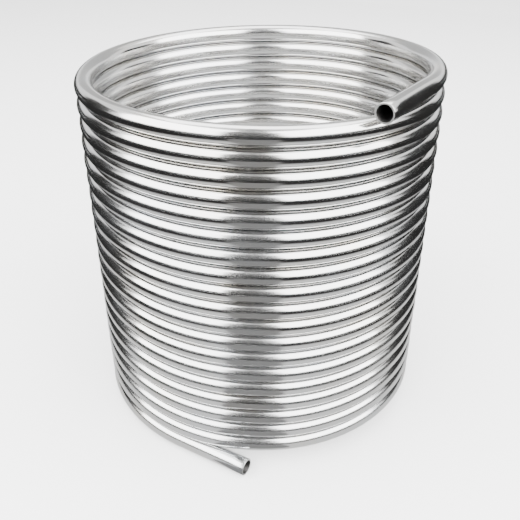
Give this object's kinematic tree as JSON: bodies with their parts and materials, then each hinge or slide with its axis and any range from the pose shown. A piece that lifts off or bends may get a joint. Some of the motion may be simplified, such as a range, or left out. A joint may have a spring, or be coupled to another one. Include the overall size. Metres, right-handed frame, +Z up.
{
  "type": "immersion wort chiller",
  "caption": "Close-wound cylindrical cooling coil of polished stainless tube, with a bare straight cut end at the bottom and another at the top.",
  "frame": {"origin": "on the coil's axis, level with the bottom of the lowest turn", "axes": "+Z up along the coil's axis, +X the way the bottom tail points out of its cut end, -Y the side the tail leaves the winding"},
  "size_m": [0.1966, 0.197, 0.2048],
  "materials": {
    "stainless_tube": "polished, as drawn"
  },
  "bodies": {
    "root": {"coil_tube": "stainless_tube"}
  },
  "joints": []
}
